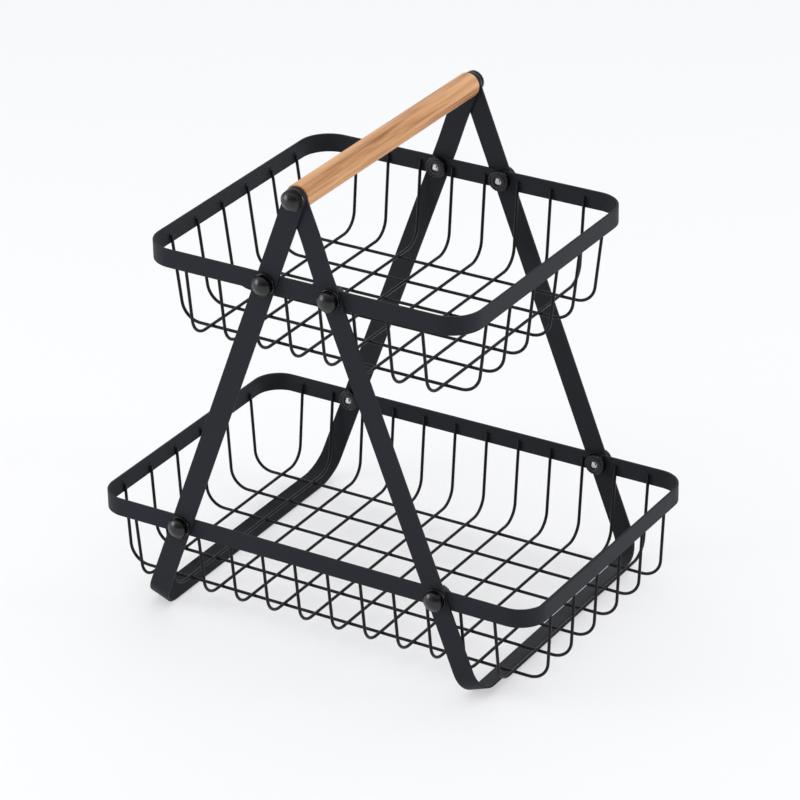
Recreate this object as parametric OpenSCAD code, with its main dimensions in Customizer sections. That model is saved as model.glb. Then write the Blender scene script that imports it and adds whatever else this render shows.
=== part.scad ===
// Two-tier wire vegetable rack with a wooden carrying grip.
// Millimetres, +Z up, long side along X, front towards -Y.
// The origin is on the ground, midway between the four corners of the feet.

/* [Rims] */
// Length of the lower rim over its outer faces
lower_length = 310; // [296:1:330]
// Length of the upper rim over its outer faces
upper_length = 224; // [216:1:240]
// Depth of both rims over their outer faces
rim_depth = 198; // [196:1:204]
// Height of the flat bar of a rim
rim_height = 12; // [11:0.5:14]
// Thickness of the flat bar of a rim
rim_thickness = 1.5; // [1.2:0.1:1.8]
// Height of the top edge of the lower rim
lower_rim_top = 70; // [68:1:74]
// Distance of the top edge of the upper rim below the axis of the grip
upper_rim_drop = 52.8; // [50:0.2:56]
// Outer corner radius of the lower rim
lower_corner = 18; // [15:1:22]
// Outer corner radius of the upper rim
upper_corner = 20; // [15:1:22]

/* [Side frames] */
// Height of the axis of the grip, where the two frames cross
grip_height = 302.2; // [296:0.2:308]
// Lean of each leg from the vertical, in degrees
leg_tilt = 20.9; // [20:0.1:22]
// Width of the strap that a frame is bent from
strap_width = 14; // [12:0.5:16]
// Thickness of that strap
strap_thickness = 1.5; // [1.2:0.1:1.8]
// Inside radius of the bend from the leg into the foot
foot_bend = 15; // [10:1:22]
// How far the inner leg runs on below the crossing before it springs outwards
spring_start_gap = 2.5; // [1:0.5:6]
// How far above the upper rim it lies flat in line with the foot
spring_end_gap = 3; // [2:0.5:8]

/* [Wires] */
// Diameter of the basket wires
wire_diameter = 2; // [1.6:0.1:2.4]
// Spacing of the wires that run from front to back
cross_pitch = 23.25; // [22.5:0.25:23.5]
// Spacing of the wires that run along the upper basket
upper_long_pitch = 27.7; // [27:0.1:29.5]
// Spacing of the wires that run along the lower basket
lower_long_pitch = 28.6; // [27:0.1:29.5]
// Number of front-to-back wires in the upper basket
upper_cross_count = 8; // [6:2:8]
// Number of front-to-back wires in the lower basket
lower_cross_count = 12; // [10:2:12]
// Number of lengthwise wires in each basket
long_count = 6; // [4:2:6]
// Depth of the upper basket, from the top of its rim to the centre of the
// front-to-back wires on its floor
upper_depth = 58.5; // [54:0.1:63]
// Centre height of the front-to-back wires on the floor of the lower basket
lower_floor = 11.9; // [11:0.1:14]
// Bend radius of the wires, on their centre line
wire_bend = 13; // [8:1:14]
// How far each front or back side leans in from the rim down to the floor
cross_lean = 6.2; // [3:0.2:8]
// How far each end of the upper basket leans in from the rim down to the floor
upper_end_lean = 6.9; // [4:0.1:9]
// How far each end of the lower basket leans in from the rim down to the floor
lower_end_lean = 2.8; // [2:0.1:6]
// Distance of the tips of the front-to-back wires below the top of the rim
tip_drop = 4.5; // [3:0.5:6]

/* [Grip] */
// Diameter of the wooden grip
grip_diameter = 15.6; // [13:0.2:18]
// Depth of the threaded insert in each end of the grip
insert_depth = 12; // [10:1:16]
// Outer diameter of the threaded insert
insert_diameter = 7; // [6.5:0.5:8]

/* [Fasteners] */
// Diameter of the knob flange that presses on the strap
flange_diameter = 13.8; // [13:0.2:15]
// Thickness of that flange
flange_height = 1.5; // [1.2:0.1:2]
// Diameter over the ribs of the knob
rib_diameter = 13.2; // [12.6:0.2:14]
// Height of the ribbed belt
rib_height = 3; // [2.6:0.2:4]
// Number of ribs around the knob
rib_count = 36; // [24:4:40]
// Height of the dome above the belt
dome_height = 2.4; // [2:0.2:4]
// Diameter of the screw studs
stud_diameter = 4; // [3.8:0.1:4]
// Diameter of the clamping nut over its lobes
nut_diameter = 13.6; // [12.6:0.2:13.8]
// Thickness of the clamping nut
nut_height = 4.2; // [4:0.1:5]
// Number of lobes around the clamping nut
nut_lobes = 24; // [16:2:28]

/* [Hidden] */
$fn = 64;
// Gap left where one piece turns against another
play = 0.05;
// Overlap of one welded wire with the next
weld = 0.1;
wire_radius = wire_diameter / 2;
// Balls close the joints between the straight runs and the bends of a wire
ball_radius = wire_radius + 0.04;
joint_gap = 0.05;
joint_turn = joint_gap / wire_bend * 180 / PI;
side_face = rim_depth / 2;
strap_face = side_face + strap_thickness;
grip_face = side_face - strap_thickness;
upper_rim_top = grip_height - upper_rim_drop;
upper_floor = upper_rim_top - upper_depth;
upper_mid = upper_rim_top - rim_height / 2;
lower_mid = lower_rim_top - rim_height / 2;
upper_screw = (grip_height - upper_mid) * tan(leg_tilt);
lower_screw = (grip_height - lower_mid) * tan(leg_tilt);
leg_length = (grip_height - strap_width / 2 * sin(leg_tilt)) / cos(leg_tilt);
leg_straight = leg_length - strap_thickness - foot_bend;
crossing_end = strap_width / 2 / tan(leg_tilt);
spring_start = crossing_end + spring_start_gap;
spring_end = (upper_rim_drop - strap_width / 2 * sin(leg_tilt)) / cos(leg_tilt) - spring_end_gap;
clearance_hole = stud_diameter + 0.5;
thread_bore = stud_diameter + 2 * play;
hex_width = 7;
hex_height = 3.2;
anchor_width = 7;
anchor_height = 2;
anchor_start = 1.8;
stud_stick_out = 0.7;
rim_stack = strap_thickness + rim_thickness;
rim_stud_length = rim_stack + play + nut_height + stud_stick_out;
grip_stack = 2 * strap_thickness;
grip_stud_length = grip_stack + insert_depth - 2;
dome_diameter = rib_diameter - 1.4;
dome_start = flange_height + 0.4 + rib_height;
dome_radius = (pow(dome_diameter / 2, 2) + dome_height * dome_height) / (2 * dome_height);
long_drop = wire_diameter - weld;
// Least distance of a front-to-back wire from the axis of a clamping nut
nut_room = nut_diameter / 2 + wire_radius + 0.4;

// Colours of the finishes
black_coat = [0.14, 0.14, 0.15];
black_plastic = [0.05, 0.05, 0.06];
bare_steel = [0.72, 0.73, 0.75];
light_wood = [0.84, 0.63, 0.43];
yellow_brass = [0.78, 0.62, 0.30];

// A straight hole along Y through one wall near the given side
module side_hole(x, z, side, diameter) {
  translate([x, side * side_face, z])
    rotate([90, 0, 0])
      cylinder(h = 20, d = diameter, center = true);
}

// Side view of a leg: a strap with a round top end
module leg_outline() {
  circle(d = strap_width);
  translate([-strap_width / 2, -leg_straight])
    square([strap_width, leg_straight]);
}

// Edge view of a leg. It stands in by the given shift at the grip and springs
// out to lie on the rims.
module leg_profile(shift) {
  top = strap_width / 2 + 1;
  polygon([
    [side_face, -leg_straight],
    [side_face, -spring_end],
    [side_face - shift, -spring_start],
    [side_face - shift, top],
    [strap_face - shift, top],
    [strap_face - shift, -spring_start],
    [strap_face, -spring_end],
    [strap_face, -leg_straight]
  ]);
}

// One leg on the +Y side, top at the origin, pointing straight down
module leg(shift) {
  intersection() {
    translate([0, side_face, 0])
      rotate([90, 0, 0])
        linear_extrude(20, center = true)
          leg_outline();
    rotate([90, 0, 90])
      linear_extrude(strap_width + 4, center = true)
        leg_profile(shift);
  }
}

// Quarter bend from the +Y leg into the foot
module foot_corner() {
  translate([0, side_face - foot_bend, -leg_straight])
    rotate([0, 90, 0])
      rotate_extrude(angle = 90)
        translate([foot_bend, -strap_width / 2])
          square([strap_thickness, strap_width]);
}

// Flat bar of the foot
module foot_bar() {
  half = side_face - foot_bend;
  translate([-strap_width / 2, -half, -leg_length])
    cube([strap_width, 2 * half, strap_thickness]);
}

// Both legs and the foot of one frame, upright. The front leg passes inside
// the other frame at the grip.
module upright_frame() {
  leg(0);
  foot_corner();
  foot_bar();
  mirror([0, 1, 0]) leg(strap_thickness);
  mirror([0, 1, 0]) foot_corner();
}

// One side frame, leaning so that its foot goes towards +X
module leaning_frame() {
  difference() {
    translate([0, 0, grip_height])
      rotate([0, -leg_tilt, 0])
        upright_frame();
    for (side = [-1, 1]) {
      side_hole(0, grip_height, side, clearance_hole);
      side_hole(upper_screw, upper_mid, side, clearance_hole);
      side_hole(lower_screw, lower_mid, side, clearance_hole);
    }
  }
}

module right_frame() {
  color(black_coat)
    leaning_frame();
}

// The left frame is the same piece turned half a turn about Z
module left_frame() {
  color(black_coat)
    rotate([0, 0, 180])
      leaning_frame();
}

// Rectangle with true round corners, centred on the origin
module round_rectangle(length, depth, radius) {
  square([length - 2 * radius, depth], center = true);
  square([length, depth - 2 * radius], center = true);
  for (x = [-1, 1])
    for (y = [-1, 1])
      translate([x * (length / 2 - radius), y * (depth / 2 - radius)])
        circle(r = radius);
}

// Flat bar bent into a closed rim, with four screw holes
module rim(length, top, radius, screw) {
  wall = 2 * rim_thickness;
  difference() {
    translate([0, 0, top - rim_height])
      linear_extrude(rim_height)
        difference() {
          round_rectangle(length, rim_depth, radius);
          round_rectangle(length - wall, rim_depth - wall, radius - rim_thickness);
        }
    for (side = [-1, 1])
      for (x = [-screw, screw])
        side_hole(x, top - rim_height / 2, side, clearance_hole);
  }
}

module upper_rim() {
  color(black_coat)
    rim(upper_length, upper_rim_top, upper_corner, upper_screw);
}

module lower_rim() {
  color(black_coat)
    rim(lower_length, lower_rim_top, lower_corner, lower_screw);
}

// The bend and the leaning side at the +X end of a bent wire. A small ball
// closes each joint between a bend and a straight run.
module wire_end(flat, corner, floor_z, angle, side_length) {
  translate([flat, floor_z + wire_bend, 0]) {
    rotate([0, 0, -90])
      translate([wire_bend, 0, 0])
        sphere(r = ball_radius);
    rotate([0, 0, joint_turn - 90])
      rotate_extrude(angle = 90 - angle - 2 * joint_turn)
        translate([wire_bend, 0])
          circle(r = wire_radius);
    rotate([0, 0, -angle])
      translate([wire_bend, 0, 0]) {
        sphere(r = ball_radius);
        translate([0, joint_gap, 0])
          rotate([-90, 0, 0])
            cylinder(h = side_length - joint_gap, r = wire_radius);
      }
  }
}

// A whole bent wire, drawn in the XY plane: the floor run with a bend and a
// leaning side at each end. reach is the half width at the rim.
module bent_wire(reach, lean, floor_z, mid, tip) {
  angle = atan(lean / (mid - floor_z));
  set_back = wire_bend * tan((90 - angle) / 2);
  corner = reach - lean;
  flat = corner - set_back;
  side_length = (tip - floor_z) / cos(angle) - set_back;
  translate([0, floor_z, 0])
    rotate([0, 90, 0])
      cylinder(h = 2 * (flat - joint_gap), r = wire_radius, center = true);
  for (end = [0, 1])
    mirror([end, 0, 0])
      wire_end(flat, corner, floor_z, angle, side_length);
}

// Place of a front-to-back wire, which makes room for the clamping nuts
function wire_place(x, screw) =
  abs(x - screw) < nut_room ? screw + (x < screw ? -nut_room : nut_room) : x;

// Wires that run from front to back: the left (side -1) or right (side 1) half
// of the set
module cross_wires(count, side, floor_z, rim_top, screw) {
  reach = side_face - rim_thickness - wire_radius;
  for (i = [0 : count / 2 - 1])
    translate([side * wire_place((i + 0.5) * cross_pitch, screw), 0, 0])
      rotate([90, 0, 90])
        bent_wire(reach, cross_lean, floor_z, rim_top - rim_height / 2, rim_top - tip_drop);
}

// Wires that run along the basket, under the others: the front (side -1) or
// back (side 1) half of the set
module long_wires(length, lean, side, pitch, floor_z, rim_top) {
  reach = length / 2 - rim_thickness - wire_radius;
  for (i = [0 : long_count / 2 - 1])
    translate([0, side * (i + 0.5) * pitch, 0])
      rotate([90, 0, 0])
        bent_wire(reach, lean, floor_z - long_drop, rim_top - rim_height / 2, rim_top - tip_drop - long_drop);
}

module upper_cross_wires(side) {
  color(black_coat)
    cross_wires(upper_cross_count, side, upper_floor, upper_rim_top, upper_screw);
}

module lower_cross_wires(side) {
  color(black_coat)
    cross_wires(lower_cross_count, side, lower_floor, lower_rim_top, lower_screw);
}

module upper_long_wires(side) {
  color(black_coat)
    long_wires(upper_length, upper_end_lean, side, upper_long_pitch, upper_floor, upper_rim_top);
}

module lower_long_wires(side) {
  color(black_coat)
    long_wires(lower_length, lower_end_lean, side, lower_long_pitch, lower_floor, lower_rim_top);
}

// Puts a piece drawn along +Z onto the front (side -1) or back (side 1), with
// its +Z pointing out of the rack
module on_side(x, z, side, distance) {
  translate([x, side * distance, z])
    rotate([-side * 90, 0, 0])
      children();
}

// Steel stud with a hexagonal anchor moulded into the knob
module stud(length) {
  translate([0, 0, -length])
    cylinder(h = 0.5, d1 = stud_diameter - 1, d2 = stud_diameter);
  translate([0, 0, 0.5 - length])
    cylinder(h = length - 0.5 + anchor_start, d = stud_diameter);
  translate([0, 0, anchor_start])
    cylinder(h = anchor_height, d = anchor_width / cos(30), $fn = 6);
}

// Cross-section of the ribbed belt
module ribbed_circle(diameter, count, depth) {
  difference() {
    circle(d = diameter);
    for (i = [0 : count - 1])
      rotate([0, 0, i * 360 / count])
        translate([diameter / 2, 0])
          circle(r = depth);
  }
}

// Plastic knob head: flange, neck, ribbed belt and dome
module knob_head() {
  difference() {
    union() {
      translate([0, 0, play])
        cylinder(h = flange_height - play, d = flange_diameter);
      translate([0, 0, flange_height])
        cylinder(h = 0.4, d = rib_diameter - 1.2);
      translate([0, 0, flange_height + 0.4])
        linear_extrude(rib_height)
          ribbed_circle(rib_diameter, rib_count, 0.32);
      intersection() {
        translate([0, 0, dome_start + dome_height - dome_radius])
          sphere(r = dome_radius);
        translate([0, 0, dome_start])
          cylinder(h = dome_height + 1, d = dome_diameter);
      }
    }
    cylinder(h = 2 * anchor_start, d = stud_diameter, center = true);
    translate([0, 0, anchor_start])
      cylinder(h = anchor_height, d = anchor_width / cos(30), $fn = 6);
  }
}

// Plastic clamping nut with lobes. Its hexagonal pocket faces the rim.
module lobed_nut() {
  difference() {
    translate([0, 0, -nut_height])
      linear_extrude(nut_height)
        ribbed_circle(nut_diameter, nut_lobes, 0.5);
    translate([0, 0, -hex_height])
      cylinder(h = hex_height + 1, d = hex_width / cos(30), $fn = 6);
    translate([0, 0, -nut_height - 1])
      cylinder(h = nut_height + 1, d = clearance_hole);
    translate([0, 0, -nut_height - 1])
      cylinder(h = 1.6, d = 6.2);
    translate([0, 0, -nut_height - 1])
      difference() {
        cylinder(h = 1.4, d = 11.4);
        translate([0, 0, -1])
          cylinder(h = 4, d = 10);
      }
  }
}

// Steel hexagon nut held in the pocket
module hex_nut() {
  difference() {
    translate([0, 0, -hex_height])
      cylinder(h = hex_height, d = hex_width / cos(30), $fn = 6);
    translate([0, 0, -hex_height - 1])
      cylinder(h = hex_height + 2, d = thread_bore);
  }
}

// One rim knob, placed at the tier height given by its screw axis
module rim_knob(x, z, side) {
  color(black_plastic)
    on_side(x, z, side, strap_face)
      knob_head();
}

module rim_stud(x, z, side) {
  color(bare_steel)
    on_side(x, z, side, strap_face)
      stud(rim_stud_length);
}

module rim_nut(x, z, side) {
  color(black_plastic)
    on_side(x, z, side, side_face - rim_thickness - play)
      lobed_nut();
}

module rim_hex(x, z, side) {
  color(bare_steel)
    on_side(x, z, side, side_face - rim_thickness - play)
      hex_nut();
}

module grip_knob(side) {
  color(black_plastic)
    on_side(0, grip_height, side, strap_face)
      knob_head();
}

module grip_stud(side) {
  color(bare_steel)
    on_side(0, grip_height, side, strap_face)
      stud(grip_stud_length);
}

// Threaded insert in one end of the grip
module grip_insert(side) {
  color(yellow_brass)
    on_side(0, grip_height, side, grip_face - play)
      translate([0, 0, -insert_depth])
        difference() {
          cylinder(h = insert_depth, d = insert_diameter);
          translate([0, 0, -1])
            cylinder(h = insert_depth + 2, d = thread_bore);
        }
}

// Wooden dowel between the inner legs, bored for the inserts
module wooden_grip() {
  color(light_wood)
    difference() {
      translate([0, 0, grip_height])
        rotate([90, 0, 0])
          cylinder(h = 2 * (grip_face - play), d = grip_diameter, center = true);
      for (side = [-1, 1])
        on_side(0, grip_height, side, grip_face - play)
          translate([0, 0, -insert_depth])
            cylinder(h = insert_depth + 1, d = insert_diameter);
    }
}

left_frame();
right_frame();
upper_rim();
upper_cross_wires(-1);  // upper_left_cross_wires
upper_cross_wires(1);  // upper_right_cross_wires
upper_long_wires(-1);  // upper_front_long_wires
upper_long_wires(1);  // upper_back_long_wires
lower_rim();
lower_cross_wires(-1);  // lower_left_cross_wires
lower_cross_wires(1);  // lower_right_cross_wires
lower_long_wires(-1);  // lower_front_long_wires
lower_long_wires(1);  // lower_back_long_wires
wooden_grip();
grip_insert(-1);  // grip_front_insert
grip_insert(1);  // grip_back_insert
grip_knob(-1);  // grip_front_knob
grip_stud(-1);  // grip_front_stud
grip_knob(1);  // grip_back_knob
grip_stud(1);  // grip_back_stud
rim_knob(-upper_screw, upper_mid, -1);  // upper_front_left_knob
rim_stud(-upper_screw, upper_mid, -1);  // upper_front_left_stud
rim_nut(-upper_screw, upper_mid, -1);  // upper_front_left_nut
rim_hex(-upper_screw, upper_mid, -1);  // upper_front_left_hex
rim_knob(upper_screw, upper_mid, -1);  // upper_front_right_knob
rim_stud(upper_screw, upper_mid, -1);  // upper_front_right_stud
rim_nut(upper_screw, upper_mid, -1);  // upper_front_right_nut
rim_hex(upper_screw, upper_mid, -1);  // upper_front_right_hex
rim_knob(-upper_screw, upper_mid, 1);  // upper_back_left_knob
rim_stud(-upper_screw, upper_mid, 1);  // upper_back_left_stud
rim_nut(-upper_screw, upper_mid, 1);  // upper_back_left_nut
rim_hex(-upper_screw, upper_mid, 1);  // upper_back_left_hex
rim_knob(upper_screw, upper_mid, 1);  // upper_back_right_knob
rim_stud(upper_screw, upper_mid, 1);  // upper_back_right_stud
rim_nut(upper_screw, upper_mid, 1);  // upper_back_right_nut
rim_hex(upper_screw, upper_mid, 1);  // upper_back_right_hex
rim_knob(-lower_screw, lower_mid, -1);  // lower_front_left_knob
rim_stud(-lower_screw, lower_mid, -1);  // lower_front_left_stud
rim_nut(-lower_screw, lower_mid, -1);  // lower_front_left_nut
rim_hex(-lower_screw, lower_mid, -1);  // lower_front_left_hex
rim_knob(lower_screw, lower_mid, -1);  // lower_front_right_knob
rim_stud(lower_screw, lower_mid, -1);  // lower_front_right_stud
rim_nut(lower_screw, lower_mid, -1);  // lower_front_right_nut
rim_hex(lower_screw, lower_mid, -1);  // lower_front_right_hex
rim_knob(-lower_screw, lower_mid, 1);  // lower_back_left_knob
rim_stud(-lower_screw, lower_mid, 1);  // lower_back_left_stud
rim_nut(-lower_screw, lower_mid, 1);  // lower_back_left_nut
rim_hex(-lower_screw, lower_mid, 1);  // lower_back_left_hex
rim_knob(lower_screw, lower_mid, 1);  // lower_back_right_knob
rim_stud(lower_screw, lower_mid, 1);  // lower_back_right_stud
rim_nut(lower_screw, lower_mid, 1);  // lower_back_right_nut
rim_hex(lower_screw, lower_mid, 1);  // lower_back_right_hex
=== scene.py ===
"""Looks of a wire vegetable rack with two baskets, in metres, in the CAD part's frame.

Two frames bent from flat strap cross at a wooden carrying grip. Between them
hang two baskets of welded wire, each with a flat-bar rim, held by plastic
knobs outside and lobed clamping nuts inside.
"""

import logging
import math
import random
from abc import ABC, abstractmethod
from dataclasses import dataclass, field
from enum import Enum
from itertools import product
from typing import Iterator, Sequence

import bmesh
import bpy
from mathutils import Matrix, Vector


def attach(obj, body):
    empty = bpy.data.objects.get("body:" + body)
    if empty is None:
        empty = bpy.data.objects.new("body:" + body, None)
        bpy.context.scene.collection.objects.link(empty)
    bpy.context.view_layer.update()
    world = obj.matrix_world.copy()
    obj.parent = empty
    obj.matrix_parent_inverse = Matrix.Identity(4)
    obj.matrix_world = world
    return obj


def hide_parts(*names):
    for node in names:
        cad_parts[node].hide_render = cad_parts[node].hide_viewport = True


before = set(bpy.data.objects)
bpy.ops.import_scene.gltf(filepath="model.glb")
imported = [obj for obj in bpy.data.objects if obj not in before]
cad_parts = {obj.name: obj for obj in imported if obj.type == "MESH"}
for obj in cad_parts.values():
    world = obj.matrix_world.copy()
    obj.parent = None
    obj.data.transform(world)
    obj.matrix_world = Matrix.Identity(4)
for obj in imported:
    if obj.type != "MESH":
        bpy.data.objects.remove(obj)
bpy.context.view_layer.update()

MM = 0.001
TURN = 2 * math.pi
SAME_POINT = 1e-7  # metres within which two vertices of one turning or bend are one
SEAM = 1e-6  # metres within which mirrored halves are joined
TRACE = 1e-5  # metres by which a pressed belt reaches past its own edges
STEPS_PER_RIB = 4
VALLEY_STEPS = (2, 3)
EDGE_SEGMENTS = 3
EDGE_ANGLE = math.radians(40)
NOISE_MIDDLE = 0.5
MOTTLE_DETAIL = 4
GRAIN_DETAIL = 2
GRAIN_BLEND = 0.45
log = logging.getLogger("rack")


class Face(Enum):
    """The front or the back of the rack, as the sign of Y."""

    FRONT = -1
    BACK = 1


class Hand(Enum):
    """The left or the right half of the rack, as the sign of X."""

    LEFT = -1
    RIGHT = 1


class Tier(Enum):
    """The upper or the lower basket."""

    UPPER = "upper"
    LOWER = "lower"


# ---------------------------------------------------------------- finishes


def math_node(
    tree: bpy.types.NodeTree, operation: str, *values: bpy.types.NodeSocket | float
) -> bpy.types.NodeSocket:
    """Adds a sum to a node tree.

    Args:
        tree: the node tree.
        operation: the kind of sum.
        values: its inputs in order, as sockets or as plain numbers.

    Returns:
        The socket that holds the result.
    """
    node = tree.nodes.new("ShaderNodeMath")
    node.operation = operation
    for socket, value in zip(node.inputs, values):
        if isinstance(value, bpy.types.NodeSocket):
            tree.links.new(value, socket)
        else:
            socket.default_value = value
    return node.outputs[0]


def grain_group() -> bpy.types.NodeTree:
    """Builds the shared grain of moulded, coated and plated surfaces once.

    Returns:
        A node group with a mottled colour, a varied roughness and a fine height.
    """
    name = "surface_grain"
    if name in bpy.data.node_groups:
        return bpy.data.node_groups[name]
    tree = bpy.data.node_groups.new(name, "ShaderNodeTree")
    colour, number = "NodeSocketColor", "NodeSocketFloat"
    taken = (
        ("Colour", colour),
        ("Worn Colour", colour),
        ("Mottle Scale", number),
        ("Mottle", number),
        ("Grain Scale", number),
        ("Roughness", number),
        ("Roughness Spread", number),
    )
    for label, kind in taken:
        tree.interface.new_socket(label, in_out="INPUT", socket_type=kind)
    for label, kind in (("Colour", colour), ("Roughness", number), ("Height", number)):
        tree.interface.new_socket(label, in_out="OUTPUT", socket_type=kind)
    nodes, links = tree.nodes, tree.links
    given, out = nodes.new("NodeGroupInput"), nodes.new("NodeGroupOutput")
    place = nodes.new("ShaderNodeTexCoord")
    mottle, grain = nodes.new("ShaderNodeTexNoise"), nodes.new("ShaderNodeTexNoise")
    mottle.inputs["Detail"].default_value = MOTTLE_DETAIL
    grain.inputs["Detail"].default_value = GRAIN_DETAIL
    grain.inputs["Roughness"].default_value = GRAIN_BLEND
    for texture, scale in ((mottle, "Mottle Scale"), (grain, "Grain Scale")):
        links.new(place.outputs["Object"], texture.inputs["Vector"])
        links.new(given.outputs[scale], texture.inputs["Scale"])
    share = math_node(tree, "MULTIPLY", mottle.outputs["Fac"], given.outputs["Mottle"])
    mix = nodes.new("ShaderNodeMix")
    mix.data_type = "RGBA"
    links.new(share, mix.inputs["Factor"])
    links.new(given.outputs["Colour"], mix.inputs["A"])
    links.new(given.outputs["Worn Colour"], mix.inputs["B"])
    centred = math_node(tree, "SUBTRACT", mottle.outputs["Fac"], NOISE_MIDDLE)
    rough = math_node(
        tree, "MULTIPLY_ADD", centred, given.outputs["Roughness Spread"], given.outputs["Roughness"]
    )
    links.new(mix.outputs["Result"], out.inputs["Colour"])
    links.new(rough, out.inputs["Roughness"])
    links.new(grain.outputs["Fac"], out.inputs["Height"])
    return tree


@dataclass(frozen=True, kw_only=True)
class Finish(ABC):
    """A procedural surface with a fine relief, whose depth is in metres."""

    name: str
    slot: str
    grain_depth: float
    grain_strength: float = 1.0
    specular: float = 0.5

    @abstractmethod
    def paint(
        self, tree: bpy.types.NodeTree, shader: bpy.types.ShaderNodeBsdfPrincipled
    ) -> bpy.types.NodeSocket:
        """Adds the nodes for the colour and the gloss.

        Args:
            tree: the material's node tree.
            shader: its surface shader.

        Returns:
            The height of the relief.
        """

    def material(self) -> bpy.types.Material:
        """Makes the material, or returns the one made before.

        Returns:
            The procedural material.
        """
        if self.name in bpy.data.materials:
            return bpy.data.materials[self.name]
        material = bpy.data.materials.new(self.name)
        material.use_nodes = True
        tree = material.node_tree
        shader = tree.nodes["Principled BSDF"]
        bump = tree.nodes.new("ShaderNodeBump")
        bump.inputs["Distance"].default_value = self.grain_depth
        bump.inputs["Strength"].default_value = self.grain_strength
        tree.links.new(self.paint(tree, shader), bump.inputs["Height"])
        tree.links.new(bump.outputs["Normal"], shader.inputs["Normal"])
        shader.inputs["Specular IOR Level"].default_value = self.specular
        return material


@dataclass(frozen=True, kw_only=True)
class GrainFinish(Finish):
    """A finish whose colour, gloss and relief come from the shared grain.

    Scales are in cycles per metre.
    """

    colour: tuple[float, float, float]
    worn_colour: tuple[float, float, float]
    roughness: float
    roughness_spread: float
    grain_scale: float
    mottle_scale: float = 45.0
    mottle: float = 0.5
    metallic: float = 0.0

    def paint(
        self, tree: bpy.types.NodeTree, shader: bpy.types.ShaderNodeBsdfPrincipled
    ) -> bpy.types.NodeSocket:
        """Joins the shared grain to the shader."""
        grain = tree.nodes.new("ShaderNodeGroup")
        grain.node_tree = grain_group()
        given = {
            "Colour": (*self.colour, 1),
            "Worn Colour": (*self.worn_colour, 1),
            "Mottle Scale": self.mottle_scale,
            "Mottle": self.mottle,
            "Grain Scale": self.grain_scale,
            "Roughness": self.roughness,
            "Roughness Spread": self.roughness_spread,
        }
        for label, value in given.items():
            grain.inputs[label].default_value = value
        tree.links.new(grain.outputs["Colour"], shader.inputs["Base Color"])
        tree.links.new(grain.outputs["Roughness"], shader.inputs["Roughness"])
        shader.inputs["Metallic"].default_value = self.metallic
        return grain.outputs["Height"]


@dataclass(frozen=True, kw_only=True)
class WoodFinish(Finish):
    """Light wood with straight brown grain along Y.

    A grain is given as cycles per metre across it and along it, and octaves of detail.
    """

    name: str = "light_wood_grain"
    slot: str = "light_wood"
    pale: tuple[float, float, float] = (0.755, 0.427, 0.215)
    middle: tuple[float, float, float] = (0.565, 0.283, 0.122)
    dark: tuple[float, float, float] = (0.265, 0.113, 0.04)
    stops: tuple[float, float, float] = (0.33, 0.47, 0.66)
    broad_grain: tuple[float, float, float] = (230, 7, 3)
    fine_grain: tuple[float, float, float] = (900, 26, 3)
    fine_share: float = 0.36
    waviness: float = 0.25
    rough_dark: float = 0.64
    rough_pale: float = 0.44
    grain_depth: float = 0.00012
    grain_strength: float = 0.5
    specular: float = 0.35

    def _streaks(
        self, tree: bpy.types.NodeTree, across: float, along: float, detail: float
    ) -> bpy.types.NodeSocket:
        """Adds a noise that is drawn out along Y.

        Args:
            tree: the material's node tree.
            across: cycles per metre across the grain.
            along: cycles per metre along it.
            detail: octaves of the noise.

        Returns:
            The noise's strength.
        """
        place = tree.nodes.new("ShaderNodeTexCoord")
        mapping = tree.nodes.new("ShaderNodeMapping")
        mapping.inputs["Scale"].default_value = (across, along, across)
        noise = tree.nodes.new("ShaderNodeTexNoise")
        noise.inputs["Scale"].default_value = 1.0
        noise.inputs["Detail"].default_value = detail
        noise.inputs["Distortion"].default_value = self.waviness
        tree.links.new(place.outputs["Object"], mapping.inputs["Vector"])
        tree.links.new(mapping.outputs["Vector"], noise.inputs["Vector"])
        return noise.outputs["Fac"]

    def paint(
        self, tree: bpy.types.NodeTree, shader: bpy.types.ShaderNodeBsdfPrincipled
    ) -> bpy.types.NodeSocket:
        """Blends broad and fine streaks into the colour and the gloss."""
        broad, fine = (self._streaks(tree, *grain) for grain in (self.broad_grain, self.fine_grain))
        blend = tree.nodes.new("ShaderNodeMix")
        blend.data_type = "FLOAT"
        blend.inputs["Factor"].default_value = self.fine_share
        tree.links.new(broad, blend.inputs["A"])
        tree.links.new(fine, blend.inputs["B"])
        ramp = tree.nodes.new("ShaderNodeValToRGB")
        scale = ramp.color_ramp.elements
        scale.new(self.stops[1])
        for element, stop, colour in zip(scale, self.stops, (self.dark, self.middle, self.pale)):
            element.position, element.color = stop, (*colour, 1)
        tree.links.new(blend.outputs["Result"], ramp.inputs["Fac"])
        tree.links.new(ramp.outputs["Color"], shader.inputs["Base Color"])
        rough = tree.nodes.new("ShaderNodeMapRange")
        rough.inputs["To Min"].default_value = self.rough_dark
        rough.inputs["To Max"].default_value = self.rough_pale
        tree.links.new(blend.outputs["Result"], rough.inputs["Value"])
        tree.links.new(rough.outputs["Result"], shader.inputs["Roughness"])
        return fine


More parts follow.
